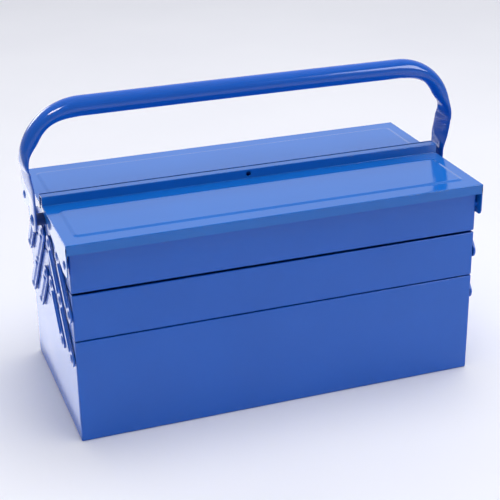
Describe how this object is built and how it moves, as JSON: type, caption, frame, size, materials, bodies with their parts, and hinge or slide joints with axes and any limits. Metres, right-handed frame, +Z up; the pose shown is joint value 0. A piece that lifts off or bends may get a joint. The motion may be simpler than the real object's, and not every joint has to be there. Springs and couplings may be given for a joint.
{
  "type": "cantilever tool box",
  "caption": "Folded-steel cantilever tool box with trays on link arms, two hinged lids meeting at a centre ridge, and a bent tube handle.",
  "frame": {"origin": "under the middle of the base tray, on the surface it stands on", "axes": "+X along the box, +Y towards the rear lid, +Z up"},
  "size_m": [0.4544, 0.212, 0.3134],
  "materials": {
    "tray_paint": "glossy blue enamel",
    "lid_paint": "glossy blue enamel",
    "link_paint": "glossy blue enamel",
    "divider_paint": "glossy blue enamel",
    "handle_paint": "glossy blue enamel",
    "rivet_steel": "zinc plated",
    "zinc_steel": "zinc plated"
  },
  "bodies": {
    "base": {"base_tray": "tray_paint", "base_rivets": "rivet_steel"},
    "front_middle": {"front_middle_tray": "tray_paint", "front_middle_rivets": "rivet_steel"},
    "front_upper": {"front_upper_tray": "tray_paint", "front_upper_rivets": "rivet_steel", "front_upper_dividers": "divider_paint", "front_lid_rivets": "rivet_steel"},
    "front_lid": {"front_lid": "lid_paint"},
    "front_long_links": {"front_long_link_left": "link_paint", "front_long_link_right": "link_paint"},
    "front_lower_links": {"front_lower_link_left": "link_paint", "front_lower_link_right": "link_paint"},
    "front_upper_links": {"front_upper_link_left": "link_paint", "front_upper_link_right": "link_paint"},
    "rear_middle": {"rear_middle_tray": "tray_paint", "rear_middle_rivets": "rivet_steel"},
    "rear_upper": {"rear_upper_tray": "tray_paint", "rear_upper_rivets": "rivet_steel", "rear_upper_dividers": "divider_paint", "rear_lid_rivets": "rivet_steel", "handle_rivets": "rivet_steel", "handle_spacers": "zinc_steel"},
    "rear_lid": {"rear_lid": "lid_paint"},
    "rear_long_links": {"rear_long_link_left": "link_paint", "rear_long_link_right": "link_paint"},
    "rear_lower_links": {"rear_lower_link_left": "link_paint", "rear_lower_link_right": "link_paint"},
    "rear_upper_links": {"rear_upper_link_left": "link_paint", "rear_upper_link_right": "link_paint"},
    "handle": {"handle": "handle_paint"}
  },
  "joints": [
    {"name": "front_open", "type": "hinge", "parent": "base", "child": "front_long_links", "pos_m": [0, -0.091, 0.087], "axis": [1, 0, 0], "range_deg": [0, 81.5]},
    {"name": "front_middle_level", "type": "hinge", "parent": "front_long_links", "child": "front_middle", "pos_m": [0, -0.053, 0.131], "axis": [1, 0, 0], "range_deg": [-81.5, 0]},
    {"name": "front_upper_level", "type": "hinge", "parent": "front_long_links", "child": "front_upper", "pos_m": [0, -0.015, 0.175], "axis": [1, 0, 0], "range_deg": [-81.5, 0]},
    {"name": "front_lower_link_swing", "type": "hinge", "parent": "base", "child": "front_lower_links", "pos_m": [0, -0.051, 0.087], "axis": [1, 0, 0], "range_deg": [0, 81.5]},
    {"name": "front_upper_link_swing", "type": "hinge", "parent": "front_middle", "child": "front_upper_links", "pos_m": [0, -0.093, 0.134], "axis": [1, 0, 0], "range_deg": [0, 81.5]},
    {"name": "front_lid_hinge", "type": "hinge", "parent": "front_upper", "child": "front_lid", "pos_m": [0, -0.095, 0.186], "axis": [1, 0, 0], "range_deg": [0, 118]},
    {"name": "rear_open", "type": "hinge", "parent": "base", "child": "rear_long_links", "pos_m": [0, 0.091, 0.087], "axis": [-1, 0, 0], "range_deg": [0, 81.5]},
    {"name": "rear_middle_level", "type": "hinge", "parent": "rear_long_links", "child": "rear_middle", "pos_m": [0, 0.053, 0.131], "axis": [-1, 0, 0], "range_deg": [-81.5, 0]},
    {"name": "rear_upper_level", "type": "hinge", "parent": "rear_long_links", "child": "rear_upper", "pos_m": [0, 0.015, 0.175], "axis": [-1, 0, 0], "range_deg": [-81.5, 0]},
    {"name": "rear_lower_link_swing", "type": "hinge", "parent": "base", "child": "rear_lower_links", "pos_m": [0, 0.051, 0.087], "axis": [-1, 0, 0], "range_deg": [0, 81.5]},
    {"name": "rear_upper_link_swing", "type": "hinge", "parent": "rear_middle", "child": "rear_upper_links", "pos_m": [0, 0.093, 0.134], "axis": [-1, 0, 0], "range_deg": [0, 81.5]},
    {"name": "rear_lid_hinge", "type": "hinge", "parent": "rear_upper", "child": "rear_lid", "pos_m": [0, 0.095, 0.186], "axis": [-1, 0, 0], "range_deg": [0, 118]},
    {"name": "handle_swing", "type": "hinge", "parent": "rear_upper", "child": "handle", "pos_m": [0, 0.0075, 0.192], "axis": [1, 0, 0], "range_deg": [-60, 60]}
  ],
  "couplings": [
    {"joint": "front_middle_level", "follows": "front_open", "ratio": -1},
    {"joint": "front_upper_level", "follows": "front_open", "ratio": -1},
    {"joint": "front_lower_link_swing", "follows": "front_open", "ratio": 1},
    {"joint": "front_upper_link_swing", "follows": "front_open", "ratio": 1},
    {"joint": "rear_middle_level", "follows": "rear_open", "ratio": -1},
    {"joint": "rear_upper_level", "follows": "rear_open", "ratio": -1},
    {"joint": "rear_lower_link_swing", "follows": "rear_open", "ratio": 1},
    {"joint": "rear_upper_link_swing", "follows": "rear_open", "ratio": 1}
  ]
}
